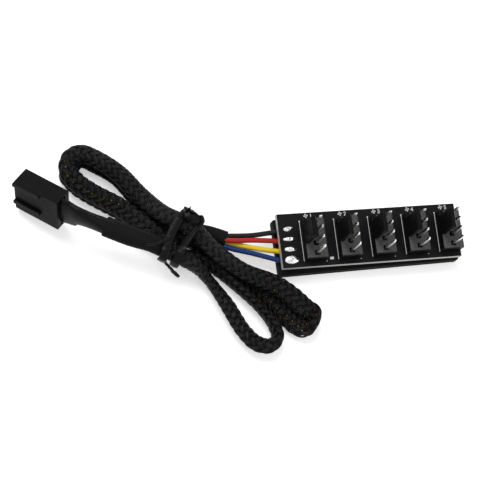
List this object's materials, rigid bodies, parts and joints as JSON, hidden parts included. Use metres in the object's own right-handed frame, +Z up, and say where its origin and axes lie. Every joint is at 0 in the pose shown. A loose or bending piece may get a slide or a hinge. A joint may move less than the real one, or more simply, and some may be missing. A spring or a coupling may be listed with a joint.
{
  "type": "fan splitter cable",
  "caption": "Fan splitter cable: a slim circuit board on a foam pad carries upright pin headers for fans, fed by a braided, bundled lead that ends in a small plug.",
  "frame": {"origin": "under the middle of the foam pad, on the surface that it rests on", "axes": "+X along the board, away from the end where the wires are soldered; +Y across the board towards the pin 1 side; +Z up, out of the pins' tips"},
  "size_m": [0.1167, 0.0575, 0.0178],
  "materials": {
    "backing_foam": "matt black foam pad with closed cells",
    "board_black": "glass-fibre board with black solder mask, semi-matt",
    "nylon_black": "moulded black nylon, satin",
    "pin_tinned": "tin-plated brass, bright",
    "terminal_tinned": "tin-plated bronze strip, bright",
    "solder": "bright tin solder",
    "wire_black": "glossy black insulation",
    "wire_red": "glossy red insulation",
    "wire_yellow": "glossy yellow insulation",
    "wire_blue": "glossy blue insulation",
    "shrink_black": "shrunk black tubing, satin",
    "braid_black": "black monofilament braid over the four wires",
    "tie_black": "black flat plastic-covered wire"
  },
  "bodies": {
    "root": {"backing_pad": "backing_foam", "circuit_board": "board_black", "header_1_base": "nylon_black", "header_2_base": "nylon_black", "header_3_base": "nylon_black", "header_4_base": "nylon_black", "header_5_base": "nylon_black", "header_1_pin_1": "pin_tinned", "header_1_pin_2": "pin_tinned", "header_1_pin_3": "pin_tinned", "header_1_pin_4": "pin_tinned", "header_2_pin_1": "pin_tinned", "header_2_pin_2": "pin_tinned", "header_2_pin_3": "pin_tinned", "header_2_pin_4": "pin_tinned", "header_3_pin_1": "pin_tinned", "header_3_pin_2": "pin_tinned", "header_3_pin_3": "pin_tinned", "header_3_pin_4": "pin_tinned", "header_4_pin_1": "pin_tinned", "header_4_pin_2": "pin_tinned", "header_4_pin_3": "pin_tinned", "header_4_pin_4": "pin_tinned", "header_5_pin_1": "pin_tinned", "header_5_pin_2": "pin_tinned", "header_5_pin_3": "pin_tinned", "header_5_pin_4": "pin_tinned", "solder_joint_black": "solder", "solder_joint_red": "solder", "solder_joint_yellow": "solder", "solder_joint_blue": "solder", "hub_wire_black": "wire_black", "hub_wire_red": "wire_red", "hub_wire_yellow": "wire_yellow", "hub_wire_blue": "wire_blue", "hub_heat_shrink": "shrink_black", "braided_sleeve": "braid_black", "sleeve_heat_shrink": "shrink_black", "wire_heat_shrink": "shrink_black", "cable_tie": "tie_black", "plug_housing": "nylon_black", "plug_terminal_1": "terminal_tinned", "plug_terminal_2": "terminal_tinned", "plug_terminal_3": "terminal_tinned", "plug_terminal_4": "terminal_tinned", "plug_wire_black": "wire_black", "plug_wire_red": "wire_red", "plug_wire_yellow": "wire_yellow", "plug_wire_blue": "wire_blue"}
  },
  "joints": []
}
